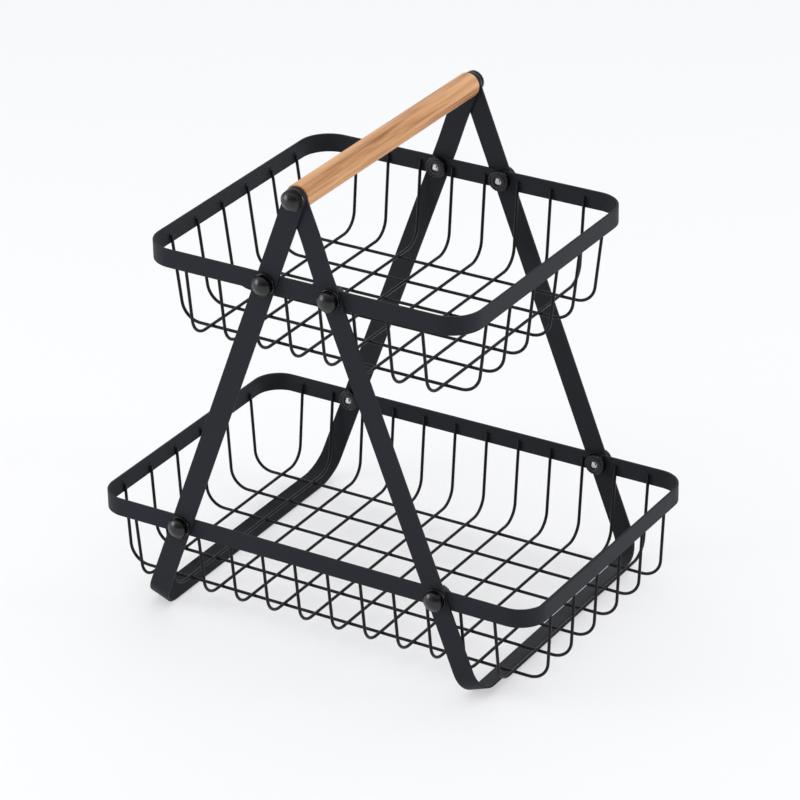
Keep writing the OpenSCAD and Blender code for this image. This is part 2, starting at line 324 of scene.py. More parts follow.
BLACK_COAT = GrainFinish(
    name="black_powder_coat",
    slot="black_coat",
    colour=(0.0224, 0.0235, 0.0288),
    worn_colour=(0.029, 0.0305, 0.037),
    roughness=0.46,
    roughness_spread=0.16,
    grain_scale=1700,
    grain_depth=0.00003,
    specular=0.06,
)
# The black powder coat again, for the wires and welds, with its colour darkened: the darker colour
# is painted shade on the thin wires
SHADED_WIRE_COAT = GrainFinish(
    name="black_wire_coat",
    slot="black_coat",
    colour=(0.004, 0.0042, 0.005),
    worn_colour=(0.0065, 0.0068, 0.008),
    roughness=0.34,
    roughness_spread=0.12,
    grain_scale=2300,
    grain_depth=0.00002,
    specular=0.2,
)
BLACK_PLASTIC = GrainFinish(
    name="black_moulded_plastic",
    slot="black_plastic",
    colour=(0.0032, 0.0034, 0.0042),
    worn_colour=(0.006, 0.0063, 0.0075),
    roughness=0.25,
    roughness_spread=0.12,
    grain_scale=2600,
    grain_depth=0.000006,
    specular=0.5,
)
BARE_STEEL = GrainFinish(
    name="plated_steel",
    slot="bare_steel",
    colour=(0.74, 0.75, 0.77),
    worn_colour=(0.56, 0.57, 0.60),
    roughness=0.24,
    roughness_spread=0.18,
    grain_scale=5200,
    grain_depth=0.000006,
    mottle_scale=700,
    metallic=1.0,
)
BRASS = GrainFinish(
    name="turned_brass",
    slot="brass_insert",
    colour=(0.70, 0.50, 0.20),
    worn_colour=(0.52, 0.35, 0.12),
    roughness=0.32,
    roughness_spread=0.15,
    grain_scale=4200,
    grain_depth=0.000006,
    mottle_scale=500,
    metallic=1.0,
)
LIGHT_WOOD = WoodFinish()


# ------------------------------------------------------------- mesh helpers


def verts_of(geom: Sequence) -> list[bmesh.types.BMVert]:
    """Picks the vertices out of an operator's result."""
    return [g for g in geom if isinstance(g, bmesh.types.BMVert)]


def faces_of(geom: Sequence) -> list[bmesh.types.BMFace]:
    """Picks the faces out of an operator's result."""
    return [g for g in geom if isinstance(g, bmesh.types.BMFace)]


def region(faces: Sequence[bmesh.types.BMFace]) -> list:
    """Lists faces with their edges and vertices, in a fixed order, for the extruding operators."""
    edges = dict.fromkeys(e for f in faces for e in f.edges)
    verts = dict.fromkeys(v for f in faces for v in f.verts)
    return [*faces, *edges, *verts]


def ring_of(verts: Sequence[bmesh.types.BMVert]) -> list[bmesh.types.BMEdge]:
    """Lists the edges that run between the given vertices, in a fixed order."""
    chosen = set(verts)
    return list(dict.fromkeys(e for v in verts for e in v.link_edges if e.other_vert(v) in chosen))


def push_faces(
    bm: bmesh.types.BMesh, faces: Sequence[bmesh.types.BMFace], offset: Sequence[float]
) -> list[bmesh.types.BMFace]:
    """Extrudes faces and moves the new ones.

    Args:
        bm: the mesh being built.
        faces: the faces to extrude.
        offset: how far the new faces move.

    Returns:
        The faces at the far end.
    """
    made = bmesh.ops.extrude_face_region(bm, geom=region(faces))["geom"]
    bmesh.ops.translate(bm, verts=verts_of(made), vec=offset)
    return faces_of(made)


def spin_faces(
    bm: bmesh.types.BMesh,
    faces: Sequence[bmesh.types.BMFace],
    centre: Sequence[float],
    axis: Sequence[float],
    angle: float,
    steps: int,
) -> list[bmesh.types.BMFace]:
    """Sweeps faces round a bend.

    Args:
        bm: the mesh being built.
        faces: the section to sweep.
        centre: a point on the bend's axis.
        axis: the direction of that axis.
        angle: the turn in radians.
        steps: the number of steps in the bend.

    Returns:
        The faces at the end of the bend.
    """
    made = bmesh.ops.spin(
        bm,
        geom=region(faces),
        cent=centre,
        axis=axis,
        angle=angle,
        steps=steps,
        use_duplicate=False,
    )["geom_last"]
    return faces_of(made)


def push_ring(
    bm: bmesh.types.BMesh, verts: Sequence[bmesh.types.BMVert], offset: Sequence[float]
) -> list[bmesh.types.BMVert]:
    """Extrudes an open ring of vertices into a tube.

    Args:
        bm: the mesh being built.
        verts: the ring at the end of the tube.
        offset: how far the new ring moves.

    Returns:
        The new ring.
    """
    made = bmesh.ops.extrude_edge_only(bm, edges=ring_of(verts))["geom"]
    fresh = verts_of(made)
    bmesh.ops.translate(bm, verts=fresh, vec=offset)
    return fresh


def shrink_ring(bm: bmesh.types.BMesh, verts: Sequence[bmesh.types.BMVert], factor: float) -> None:
    """Scales a ring about its own middle."""
    middle = sum((v.co for v in verts), Vector()) / len(verts)
    bmesh.ops.scale(bm, verts=verts, vec=(factor,) * 3, space=Matrix.Translation(-middle))


def lathe(bm: bmesh.types.BMesh, profile: Sequence[tuple[float, float]], steps: int) -> None:
    """Turns a profile about Z into a closed shape.

    Args:
        bm: the mesh being built.
        profile: points as radius and height, from axis to axis or as a closed loop off it.
        steps: the number of steps in the full turn.
    """
    verts = [bm.verts.new((r, 0, z)) for r, z in profile]
    edges = [bm.edges.new(pair) for pair in zip(verts, verts[1:])]
    if profile[0][0] > 0 and profile[-1][0] > 0:
        edges.append(bm.edges.new((verts[-1], verts[0])))
    bmesh.ops.spin(
        bm,
        geom=[*verts, *edges],
        cent=(0, 0, 0),
        axis=(0, 0, 1),
        angle=TURN,
        steps=steps,
        use_merge=True,
        use_duplicate=False,
    )
    bmesh.ops.remove_doubles(bm, verts=bm.verts[:], dist=SAME_POINT)


def arc(
    centre: tuple[float, float], radius: float, start: float, end: float, steps: int
) -> Iterator[tuple[float, float]]:
    """Gives points along an arc of a profile.

    Args:
        centre: the arc's centre, as radius and height.
        radius: the arc's own radius.
        start: the first angle, in degrees from the radius direction.
        end: the last angle, in degrees.
        steps: the number of steps between them.

    Returns:
        An iterator of points as radius and height.
    """
    for i in range(steps + 1):
        a = math.radians(start + (end - start) * i / steps)
        yield max(0.0, centre[0] + radius * math.cos(a)), centre[1] + radius * math.sin(a)


def flute(
    bm: bmesh.types.BMesh, ribs: int, keep: float, low: float, high: float, least: float
) -> None:
    """Presses valleys between the ribs of a turned belt.

    Args:
        bm: the mesh, turned in STEPS_PER_RIB steps for each rib.
        ribs: the number of ribs.
        keep: the valley's radius as a share of the rib's.
        low: the lowest height that is pressed.
        high: the highest height that is pressed.
        least: the least radius that is pressed.
    """
    step = TURN / (STEPS_PER_RIB * ribs)
    valleys = [
        v
        for v in bm.verts
        if low - TRACE <= v.co.z <= high + TRACE
        and v.co.xy.length >= least - TRACE
        and round(math.atan2(v.co.y, v.co.x) / step) % STEPS_PER_RIB in VALLEY_STEPS
    ]
    bmesh.ops.scale(bm, verts=valleys, vec=(keep, keep, 1))


def standing(x: float, z: float, face: Face, distance: float) -> Matrix:
    """Places a piece drawn along +Z so that its +Z points out of the front or the back.

    Args:
        x: where the axis is along the rack.
        z: the height of the axis.
        face: the side that it points out of.
        distance: how far its origin is from the middle plane.

    Returns:
        The placing matrix.
    """
    turn = Matrix.Rotation(-face.value * math.pi / 2, 4, "X")
    return Matrix.Translation((x, face.value * distance, z)) @ turn


def finish_piece(
    name: str,
    bm: bmesh.types.BMesh,
    finish: Finish,
    body: str,
    stands_for: Sequence[str] = (),
    sharp: float = 32.0,
    edge_round: float = 0.0,
) -> bpy.types.Object:
    """Turns a built mesh into a dressed piece of the rack.

    Args:
        name: the piece's name.
        bm: its mesh, which is freed.
        finish: what it is made of.
        body: the CAD body that it rides on.
        stands_for: the CAD nodes that it replaces.
        sharp: the angle in degrees above which an edge shades as sharp.
        edge_round: the radius worked onto its edges, or 0.

    Returns:
        The finished object.
    """
    bmesh.ops.recalc_face_normals(bm, faces=bm.faces[:])
    mesh = bpy.data.meshes.new(name)
    bm.to_mesh(mesh)
    bm.free()
    mesh.shade_smooth()
    if not edge_round:
        mesh.set_sharp_from_angle(angle=math.radians(sharp))
    mesh.materials.append(finish.material())
    piece = bpy.data.objects.new(name, mesh)
    bpy.context.scene.collection.objects.link(piece)
    if edge_round:
        bevel = piece.modifiers.new("edge_round", "BEVEL")
        bevel.width = edge_round
        bevel.segments = EDGE_SEGMENTS
        bevel.limit_method = "ANGLE"
        bevel.angle_limit = EDGE_ANGLE
        bevel.harden_normals = True
    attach(piece, body)
    if stands_for:
        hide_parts(*stands_for)
    log.info("%s: %d faces on body %s", name, len(mesh.polygons), body)
    return piece


# ------------------------------------------------------------ sub-assemblies


@dataclass
class Layout:
    """The sizes that several sub-assemblies share, in metres and radians."""

    rim_depth: float = 198 * MM
    rim_height: float = 12 * MM
    bar: float = 1.5 * MM
    edge_round: float = 0.32 * MM
    clearance: float = 0.05 * MM
    grip_height: float = 302.2 * MM
    tilt: float = math.radians(20.9)
    rim_top: dict[Tier, float] = field(
        default_factory=lambda: {Tier.UPPER: 249.4 * MM, Tier.LOWER: 70 * MM}
    )

    @property
    def side_face(self) -> float:
        """Distance of the rims' outer side faces from the middle plane."""
        return self.rim_depth / 2

    @property
    def knob_face(self) -> float:
        """Distance of the knobs' seats on the outer straps from the middle plane."""
        return self.side_face + self.bar

    @property
    def grip_face(self) -> float:
        """Distance of the inner legs' inner faces at the grip from the middle plane."""
        return self.side_face - self.bar

    def screw_height(self, tier: Tier) -> float:
        """Height of the screws of one basket."""
        return self.rim_top[tier] - self.rim_height / 2

    def screw_reach(self, tier: Tier) -> float:
        """Distance of those screws from the middle, along X."""
        return (self.grip_height - self.screw_height(tier)) * math.tan(self.tilt)


LAYOUT = Layout()


@dataclass
class SideFrame:
    """A U bent from flat strap: two legs and the foot between them."""

    hand: Hand
    width: float = 14 * MM
    thickness: float = 1.5 * MM
    foot_bend: float = 15 * MM
    spring_start_gap: float = 2.5 * MM
    spring_end_gap: float = 3 * MM
    top_steps: int = 28
    bend_steps: int = 14
    spring_loops: int = 9

    @property
    def leg_length(self) -> float:
        """Distance from the grip's axis to the underside of the foot, along the leg."""
        drop = LAYOUT.grip_height - self.width / 2 * math.sin(LAYOUT.tilt)
        return drop / math.cos(LAYOUT.tilt)

    @property
    def spring_start(self) -> float:
        """Distance below the grip at which the front leg starts to spring out."""
        return self.width / 2 / math.tan(LAYOUT.tilt) + self.spring_start_gap

    @property
    def spring_end(self) -> float:
        """Distance below the grip at which it lies flat on the rim's side."""
        rise = LAYOUT.grip_height - LAYOUT.rim_top[Tier.UPPER]
        drop = rise - self.width / 2 * math.sin(LAYOUT.tilt)
        return drop / math.cos(LAYOUT.tilt) - self.spring_end_gap

    def _leg(self, bm: bmesh.types.BMesh) -> bmesh.types.BMFace:
        """Builds the +Y leg, pointing straight down from the origin.

        Args:
            bm: the mesh being built.

        Returns:
            The face at the leg's lower end.
        """
        straight = self.leg_length - self.thickness - self.foot_bend
        start = bm.verts.new((self.width / 2, LAYOUT.side_face, 0))
        bmesh.ops.spin(
            bm,
            geom=[start],
            cent=(0, LAYOUT.side_face, 0),
            axis=(0, 1, 0),
            angle=-math.pi,
            steps=self.top_steps,
            use_duplicate=False,
        )
        ends = [v for v in bm.verts if len(v.link_edges) == 1]
        low = verts_of(bmesh.ops.extrude_vert_indiv(bm, verts=ends)["verts"])
        bmesh.ops.translate(bm, verts=low, vec=(0, 0, -straight))
        bm.edges.new(low)
        outline = bmesh.ops.contextual_create(bm, geom=bm.edges[:])["faces"]
        push_faces(bm, outline, (0, self.thickness, 0))
        bm.faces.ensure_lookup_table()
        return min(bm.faces, key=lambda f: f.calc_center_median().z)

    def _spring(self, bm: bmesh.types.BMesh) -> None:
        """Leans the -Y leg's top in by one strap, eased at both ends, inside the other's leg."""
        run = self.spring_end - self.spring_start
        for i in range(self.spring_loops + 1):
            bmesh.ops.bisect_plane(
                bm,
                geom=[*bm.verts, *bm.edges, *bm.faces],
                plane_co=(0, 0, -self.spring_start - run * i / self.spring_loops),
                plane_no=(0, 0, 1),
            )
        for v in bm.verts:
            if v.co.y < 0 and v.co.z > -self.spring_end:
                share = min(1.0, (v.co.z + self.spring_end) / run)
                v.co.y += self.thickness * share * share * (3 - 2 * share)

    def build(self) -> None:
        """Builds the frame and dresses it."""
        bm = bmesh.new()
        end = self._leg(bm)
        height = -self.leg_length + self.thickness + self.foot_bend
        centre = (0, LAYOUT.side_face - self.foot_bend, height)
        bmesh.ops.recalc_face_normals(bm, faces=bm.faces[:])
        end = spin_faces(bm, [end], centre, (1, 0, 0), -math.pi / 2, self.bend_steps)
        end = push_faces(bm, end, (0, -centre[1], 0))
        bmesh.ops.delete(bm, geom=end, context="FACES_ONLY")
        bmesh.ops.mirror(bm, geom=[*bm.verts, *bm.edges, *bm.faces], merge_dist=SEAM, axis="Y")
        self._spring(bm)
        lean = Matrix.Rotation(-LAYOUT.tilt, 4, "Y")
        turn = Matrix.Identity(4) if self.hand is Hand.RIGHT else Matrix.Rotation(math.pi, 4, "Z")
        place = turn @ Matrix.Translation((0, 0, LAYOUT.grip_height)) @ lean
        bmesh.ops.transform(bm, matrix=place, verts=bm.verts[:])
        node = f"{self.hand.name.lower()}_frame"
        finish_piece(f"{node}_strap", bm, BLACK_COAT, "rack", [node], edge_round=LAYOUT.edge_round)


@dataclass
class Basket:
    """A basket: a flat-bar rim and two layers of bent wire welded to it.

    Each tip step is an advance and a shrink of the wire's ring. The advance, the tip's length and
    the welds' widths and depths are in wire radii.
    """

    tier: Tier
    length: float
    corner: float
    floor: float
    cross_count: int
    end_lean: float
    long_pitch: float
    long_count: int = 6
    cross_pitch: float = 23.25 * MM
    cross_lean: float = 6.2 * MM
    wire: float = 1.0 * MM
    bend: float = 13 * MM
    tip_drop: float = 4.5 * MM
    weld: float = 0.1 * MM
    tip_steps: tuple[tuple[float, float], ...] = ((0.18, 0.9), (0.12, 0.62))
    tip_length: float = 0.3
    sides: int = 14
    bend_steps: int = 12
    corner_steps: int = 16
    weld_width: tuple[float, float] = (1.0, 1.2)
    weld_depth: float = 0.45
    weld_detail: int = 1
    tip_weld_width: float = 1.35
    tip_weld_depth: float = 0.55
    tip_weld_sunk: float = 0.4
    tip_weld_height: float = 1.9 * MM
    tip_weld_drop: float = 2.2 * MM
    tip_weld_scatter: float = 0.3 * MM
    tip_weld_detail: int = 2

    @property
    def top(self) -> float:
        """Height of the rim's top edge."""
        return LAYOUT.rim_top[self.tier]

    def _rim(self) -> None:
        """Bends the flat bar into the rim, a quarter at a time."""
        bm = bmesh.new()
        half = (self.length / 2, LAYOUT.side_face)
        low, high = self.top - LAYOUT.rim_height, self.top
        outer, inner = -half[1], -half[1] + LAYOUT.bar
        corners = [(0, outer, low), (0, inner, low), (0, inner, high), (0, outer, high)]
        section = bm.faces.new([bm.verts.new(c) for c in corners])
        end = push_faces(bm, [section], (half[0] - self.corner, 0, 0))
        centre = (half[0] - self.corner, -half[1] + self.corner, 0)
        end = spin_faces(bm, end, centre, (0, 0, 1), math.pi / 2, self.corner_steps)
        end = push_faces(bm, end, (0, half[1] - self.corner, 0))
        start = [f for f in bm.faces if all(abs(v.co.x) < SAME_POINT for v in f.verts)]
        bmesh.ops.delete(bm, geom=list(dict.fromkeys([*start, *end])), context="FACES_ONLY")
        for axis in "XY":
            bmesh.ops.mirror(bm, geom=[*bm.verts, *bm.edges, *bm.faces], merge_dist=SEAM, axis=axis)
        node = f"{self.tier.value}_rim"
        finish_piece(f"{node}_bar", bm, BLACK_COAT, "rack", [node], edge_round=LAYOUT.edge_round)

    def _wire(
        self, bm: bmesh.types.BMesh, reach: float, lean: float, floor: float, tip: float
    ) -> None:
        """Bends one wire in the XZ plane, symmetric about the middle.

        Args:
            bm: an empty mesh.
            reach: half the width between the wire's sides at the rim.
            lean: how far each side leans in from the rim to the floor.
            floor: the height of the run along the bottom.
            tip: the height of the wire's ends.
        """
        angle = math.atan(lean / (LAYOUT.screw_height(self.tier) - floor))
        turn = math.pi / 2 - angle
        set_back = self.bend * math.tan(turn / 2)
        flat = reach - lean - set_back
        side = (tip - floor) / math.cos(angle) - set_back
        way = Vector((math.sin(angle), 0, math.cos(angle)))
        start = Matrix.Translation((0, 0, floor)) @ Matrix.Rotation(math.pi / 2, 4, "Y")
        ring = bmesh.ops.create_circle(
            bm, cap_ends=False, segments=self.sides, radius=self.wire, matrix=start
        )["verts"]
        ring = push_ring(bm, ring, (flat, 0, 0))
        ring = verts_of(
            bmesh.ops.spin(
                bm,
                geom=[*ring, *ring_of(ring)],
                cent=(flat, 0, floor + self.bend),
                axis=(0, 1, 0),
                angle=-turn,
                steps=self.bend_steps,
                use_duplicate=False,
            )["geom_last"]
        )
        ring = push_ring(bm, ring, way * (side - self.tip_length * self.wire))
        for advance, factor in self.tip_steps:
            ring = push_ring(bm, ring, way * advance * self.wire)
            shrink_ring(bm, ring, factor)
        bmesh.ops.edgeloop_fill(bm, edges=ring_of(ring))
        whole = [*bm.verts, *bm.edges, *bm.faces]
        bmesh.ops.mirror(bm, geom=whole, merge_dist=SAME_POINT, axis="X")

    def _row(self, bm: bmesh.types.BMesh, places: Sequence[Vector]) -> None:
        """Copies the wire in bm to each of the given places.

        Args:
            bm: a mesh that holds one wire, at the origin.
            places: where the wires go.
        """
        first = [*bm.verts, *bm.edges, *bm.faces]
        for place in places[1:]:
            copy = bmesh.ops.duplicate(bm, geom=first)["geom"]
            bmesh.ops.translate(bm, verts=verts_of(copy), vec=place)
        bmesh.ops.translate(bm, verts=verts_of(first), vec=places[0])

    def _cross_wires(self, hand: Hand) -> None:
        """Builds the front-to-back wires of one half of the basket."""
        bm = bmesh.new()
        reach = LAYOUT.side_face - LAYOUT.bar - self.wire
        self._wire(bm, reach, self.cross_lean, self.floor, self.top - self.tip_drop)
        bmesh.ops.rotate(bm, verts=bm.verts[:], matrix=Matrix.Rotation(math.pi / 2, 3, "Z"))
        places = self._spread(self.cross_count, self.cross_pitch)
        self._row(bm, [Vector((x, 0, 0)) for x in places if x * hand.value > 0])
        node = f"{self.tier.value}_{hand.name.lower()}_cross_wires"
        finish_piece(f"{node}_bent", bm, SHADED_WIRE_COAT, "rack", [node], sharp=50)

    def _long_wires(self, face: Face) -> None:
        """Builds the lengthwise wires of one half of the basket, under the others."""
        bm = bmesh.new()
        drop = 2 * self.wire - self.weld
        reach = self.length / 2 - LAYOUT.bar - self.wire
        self._wire(bm, reach, self.end_lean, self.floor - drop, self.top - self.tip_drop - drop)
        places = self._spread(self.long_count, self.long_pitch)
        self._row(bm, [Vector((0, y, 0)) for y in places if y * face.value > 0])
        node = f"{self.tier.value}_{face.name.lower()}_long_wires"
        finish_piece(f"{node}_bent", bm, SHADED_WIRE_COAT, "rack", [node], sharp=50)

    @staticmethod
    def _spread(count: int, pitch: float) -> list[float]:
        """Lists evenly spaced places about the middle."""
        return [(i - (count - 1) / 2) * pitch for i in range(count)]

    def _blob(
        self, bm: bmesh.types.BMesh, centre: Vector, size: Sequence[float], detail: int
    ) -> None:
        """Adds one weld blob.

        Args:
            bm: the mesh of welds.
            centre: the blob's middle.
            size: its half sizes along X, Y and Z.
            detail: how finely it is rounded.
        """
        place = Matrix.Translation(centre) @ Matrix.Diagonal((*size, 1))
        bmesh.ops.create_icosphere(bm, subdivisions=detail, radius=1, matrix=place)

    def _welds(self) -> None:
        """Builds the spot welds, at each crossing on the floor and at each wire tip."""
        bm = bmesh.new()
        chance = random.Random(len(self.tier.value) + self.cross_count)
        cross = self._spread(self.cross_count, self.cross_pitch)
        along = self._spread(self.long_count, self.long_pitch)
        for x in cross:
            for y in along:
                size = self.wire * chance.uniform(*self.weld_width)
                place = Vector((x, y, self.floor - self.wire))
                half = (size, size, self.weld_depth * self.wire)
                self._blob(bm, place, half, self.weld_detail)
        middle = self.top - self.tip_drop - self.tip_weld_drop
        width, depth = self.tip_weld_width * self.wire, self.tip_weld_depth * self.wire
        sunk = self.tip_weld_sunk * depth
        end = self.length / 2 - LAYOUT.bar - sunk
        front = LAYOUT.side_face - LAYOUT.bar - sunk
        for side in (-1, 1):
            tips = [(x, side * front, width, depth) for x in cross]
            tips += [(side * end, y, depth, width) for y in along]
            for x, y, *half in tips:
                height = middle + chance.uniform(-self.tip_weld_scatter, self.tip_weld_scatter)
                place = Vector((x, y, height))
                self._blob(bm, place, (*half, self.tip_weld_height), self.tip_weld_detail)
        finish_piece(f"{self.tier.value}_basket_welds", bm, SHADED_WIRE_COAT, "rack", sharp=80)

    def build(self) -> None:
        """Builds the rim, the wires and their welds."""
        self._rim()
        for hand in Hand:
            self._cross_wires(hand)
        for face in Face:
            self._long_wires(face)
        self._welds()


@dataclass
class KnobScrew:
    """A ribbed plastic knob with a dome, moulded onto a threaded stud."""

    name: str
    body: str
    place: Matrix
    stud_length: float
    flange: float = 6.9 * MM
    flange_top: float = 1.5 * MM
    flange_edge: float = 0.25 * MM
    flange_bevel: float = 0.4 * MM
    flange_fall: float = 0.35 * MM
    flange_bulge: float = 0.12 * MM
    groove_low: float = 1.55 * MM
    groove_depth: float = 0.6 * MM
    groove_top: float = 1.8 * MM
    rib: float = 6.6 * MM
    rib_edge: float = 0.2 * MM
    ribs: int = 36
    valley: float = 0.87
    belt_low: float = 1.9 * MM
    belt_high: float = 4.9 * MM
    ledge: float = 5.96 * MM
    ledge_top: float = 4.93 * MM
    dome: float = 5.9 * MM
    dome_low: float = 5.05 * MM
    dome_steps: int = 12
    height: float = 7.3 * MM
    pitch: float = 0.7 * MM
    thread: float = 2.0 * MM
    thread_depth: float = 0.36 * MM
    thread_start: float = 0.35 * MM
    thread_steps: int = 24
    flank: float = 0.3 * MM
    crest: float = 0.1 * MM
    core_overlap: float = 0.04 * MM
    tip: float = 0.4 * MM
    tip_bevel: float = 0.3 * MM
    anchor: float = 1.5 * MM

    def _head(self) -> None:
        """Turns the knob and presses its ribs."""
        rise = self.height - self.dome_low
        radius = (self.dome**2 + rise**2) / (2 * rise)
        low_angle = math.degrees(math.asin((radius - rise) / radius))
        seat, groove = LAYOUT.clearance, self.rib - self.groove_depth
        profile = [
            (0, seat),
            (self.flange - self.flange_edge, seat),
            (self.flange, seat + self.flange_edge),
            (self.flange, self.flange_top - self.flange_fall),
            (self.flange - self.flange_bulge, self.flange_top - self.flange_bulge),
            (self.flange - self.flange_bevel, self.flange_top),
            (groove, self.groove_low),
            (groove, self.groove_top),
            (self.rib - self.rib_edge, self.belt_low),
            (self.rib, self.belt_low + self.rib_edge),
            (self.rib, self.belt_high - self.rib_edge),
            (self.rib - self.rib_edge, self.belt_high),
            (self.ledge, self.ledge_top),
            *arc((0, self.height - radius), radius, low_angle, 90, self.dome_steps),
        ]
        bm = bmesh.new()
        lathe(bm, profile, STEPS_PER_RIB * self.ribs)
        least = self.rib - self.rib_edge
        flute(bm, self.ribs, self.valley, self.belt_low, self.belt_high, least)
        bmesh.ops.transform(bm, matrix=self.place, verts=bm.verts[:])
        node = f"{self.name}_knob"
        finish_piece(f"{node}_head", bm, BLACK_PLASTIC, self.body, [node], sharp=28)

    def _stud(self) -> None:
        """Cuts the thread as a true helix round a core with a chamfered tip."""
        bm = bmesh.new()
        root = self.thread - self.thread_depth
        turns = int((self.stud_length - self.tip) / self.pitch)
        low = -self.stud_length + self.thread_start
        tooth = [
            (root, low),
            (self.thread, low + self.flank),
            (self.thread, low + self.flank + self.crest),
            (root, low + self.pitch),
        ]
        verts = [bm.verts.new((r, 0, z)) for r, z in tooth]
        edges = [bm.edges.new(pair) for pair in zip(verts, verts[1:])]
        bmesh.ops.spin(
            bm,
            geom=[*verts, *edges],
            cent=(0, 0, 0),
            axis=(0, 0, 1),
            dvec=(0, 0, self.pitch / self.thread_steps),
            angle=TURN * turns,
            steps=self.thread_steps * turns,
            use_duplicate=False,
        )
        bmesh.ops.remove_doubles(bm, verts=bm.verts[:], dist=SEAM)
        core = bmesh.new()
        shaft = root + self.core_overlap
        outline = [
            (0, -self.stud_length),
            (root - self.tip_bevel, -self.stud_length),
            (shaft, -self.stud_length + self.tip),
            (shaft, self.anchor),
            (0, self.anchor),
        ]
        lathe(core, outline, self.thread_steps)
        spare = bpy.data.meshes.new("core")
        core.to_mesh(spare)
        core.free()
        bm.from_mesh(spare)
        bpy.data.meshes.remove(spare)
        bmesh.ops.transform(bm, matrix=self.place, verts=bm.verts[:])
        node = f"{self.name}_stud"
        finish_piece(f"{self.name}_threaded_stud", bm, BARE_STEEL, self.body, [node], sharp=30)

    def build(self) -> None:
        """Builds the knob and its stud."""
        self._head()
        self._stud()


@dataclass
class ClampNut:
    """A lobed plastic nut with ringed face, round a captive hexagon nut.

    The rings are points as radius and depth in the face, from the dish's lip outwards.
    """

    name: str
    body: str
    place: Matrix
    radius: float = 6.8 * MM
    height: float = 4.2 * MM
    lobes: int = 24
    valley: float = 0.93
    bore: float = 2.25 * MM
    pocket: float = 4.1 * MM
    pocket_depth: float = 3.25 * MM
    dish: float = 0.65 * MM
    rings: tuple[tuple[float, float], ...] = (
        (3.0 * MM, 0.6 * MM),
        (3.15 * MM, 0.1 * MM),
        (3.3 * MM, 0.0),
        (4.9 * MM, 0.0),
        (5.0 * MM, 0.08 * MM),
        (5.08 * MM, 0.4 * MM),
        (5.6 * MM, 0.4 * MM),
        (5.68 * MM, 0.08 * MM),
        (5.8 * MM, 0.0),
    )
    edge: float = 0.35 * MM
    edge_bulge: float = 0.1 * MM
    foot_bevel: float = 0.25 * MM

    def build(self) -> None:
        """Turns the nut and presses its lobes. The captive nut stays as the CAD made it."""
        top = -self.height
        profile = [
            (self.bore, -self.pocket_depth),
            (self.bore, top + self.dish),
            *((radius, top + depth) for radius, depth in self.rings),
            (self.radius - self.edge, top),
            (self.radius - self.edge_bulge, top + self.edge_bulge),
            (self.radius, top + self.edge),
            (self.radius, -self.edge),
            (self.radius - self.foot_bevel, 0),
            (self.pocket, 0),
            (self.pocket, -self.pocket_depth),
        ]
        bm = bmesh.new()
        lathe(bm, profile, STEPS_PER_RIB * self.lobes)
        flute(bm, self.lobes, self.valley, top, 0, self.radius - self.edge)
        bmesh.ops.transform(bm, matrix=self.place, verts=bm.verts[:])
        node = f"{self.name}_nut"
        finish_piece(f"{self.name}_lobed_nut", bm, BLACK_PLASTIC, self.body, [node], sharp=28)


@dataclass
class Grip:
    """The wooden dowel, bored at both ends for threaded inserts."""

    radius: float = 7.79 * MM
    bore: float = 3.5 * MM
    bore_depth: float = 12 * MM
    edge: float = 0.5 * MM
    edge_steps: int = 4
    steps: int = 72

    def build(self) -> None:
        """Turns the dowel. The inserts stay as the CAD made them."""
        end = LAYOUT.grip_face - LAYOUT.clearance
        half = [
            (0, end - self.bore_depth),
            (self.bore, end - self.bore_depth),
            (self.bore, end),
            (self.radius - self.edge, end),
            *arc((self.radius - self.edge, end - self.edge), self.edge, 90, 0, self.edge_steps),
        ]
        low = [(r, -z) for r, z in reversed(half)]
        bm = bmesh.new()
        lathe(bm, [*half, *low], self.steps)
        bmesh.ops.remove_doubles(bm, verts=bm.verts[:], dist=SEAM)
        along = Matrix.Rotation(math.pi / 2, 4, "X")
        place = Matrix.Translation((0, 0, LAYOUT.grip_height)) @ along
        bmesh.ops.transform(bm, matrix=place, verts=bm.verts[:])
        finish_piece("wooden_grip_dowel", bm, LIGHT_WOOD, "grip", ["wooden_grip"], sharp=40)


